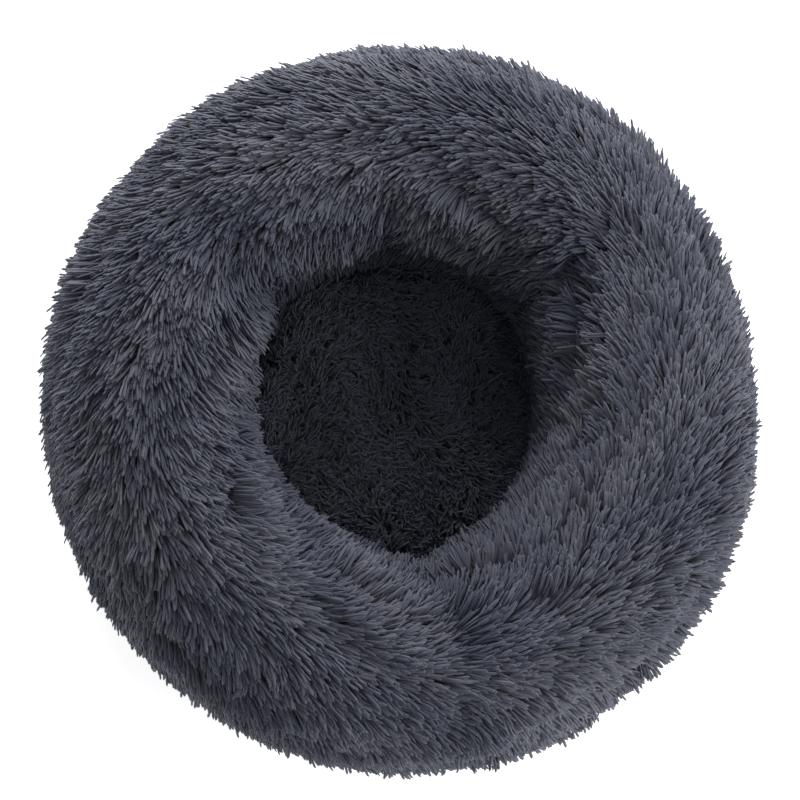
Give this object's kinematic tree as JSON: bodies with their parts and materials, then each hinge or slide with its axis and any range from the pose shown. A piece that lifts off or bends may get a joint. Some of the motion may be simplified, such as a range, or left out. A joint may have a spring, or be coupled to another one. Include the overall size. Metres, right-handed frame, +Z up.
{
  "type": "plush ring pet bed",
  "caption": "Round plush pet bed: a thick stuffed ring of long-pile faux fur around a sunken fur-lined nest, on a flat grip base with a zip low at the back.",
  "frame": {"origin": "middle of the underside, on the floor", "axes": "+Z up out of the nest, +Y towards the back where the zip is, +X to the right seen from the front"},
  "size_m": [0.6, 0.6, 0.18],
  "materials": {
    "ring_fur": "long-pile faux fur, matt with a soft sheen",
    "nest_fur": "shorter, tangled faux fur, matt",
    "base_cloth": "coarse coated weave with rubber grip dots",
    "lining_cloth": "plain weave, matt",
    "binding": "woven tape, matt",
    "nonwoven": "point-bonded nonwoven, matt",
    "fibre": "loose polyester fibre",
    "zip_tape": "fine twill tape, matt",
    "zip_coil": "satin nylon",
    "zip_metal": "dark nickel, satin",
    "label": "satin ribbon, blank"
  },
  "bodies": {
    "bed": {"ring_fur_back": "ring_fur", "ring_fur_left": "ring_fur", "ring_fur_right": "ring_fur", "nest_fur": "nest_fur", "base_cloth": "base_cloth", "wall_cloth": "lining_cloth", "nest_binding": "binding", "base_binding": "binding", "ring_liner_upper": "nonwoven", "ring_liner_lower": "nonwoven", "ring_fill": "fibre", "pad_liner": "nonwoven", "pad_fill": "fibre", "zip_tape_upper": "zip_tape", "zip_tape_lower": "zip_tape", "zip_coil_upper": "zip_coil", "zip_coil_lower": "zip_coil", "zip_top_stop_upper": "zip_metal", "zip_top_stop_lower": "zip_metal", "zip_bottom_stop": "zip_metal", "care_label": "label"},
    "slider": {"zip_slider": "zip_metal"},
    "pull": {"zip_pull": "zip_metal"}
  },
  "joints": [
    {"name": "zip_run", "type": "hinge", "parent": "bed", "child": "slider", "pos_m": [0, 0, 0.0155], "axis": [0, 0, 1], "range_deg": [0, 78]},
    {"name": "pull_flip", "type": "hinge", "parent": "slider", "child": "pull", "pos_m": [0.17566, 0.20445, 0.0155], "axis": [0, 0, -1], "range_deg": [0, 170]}
  ]
}
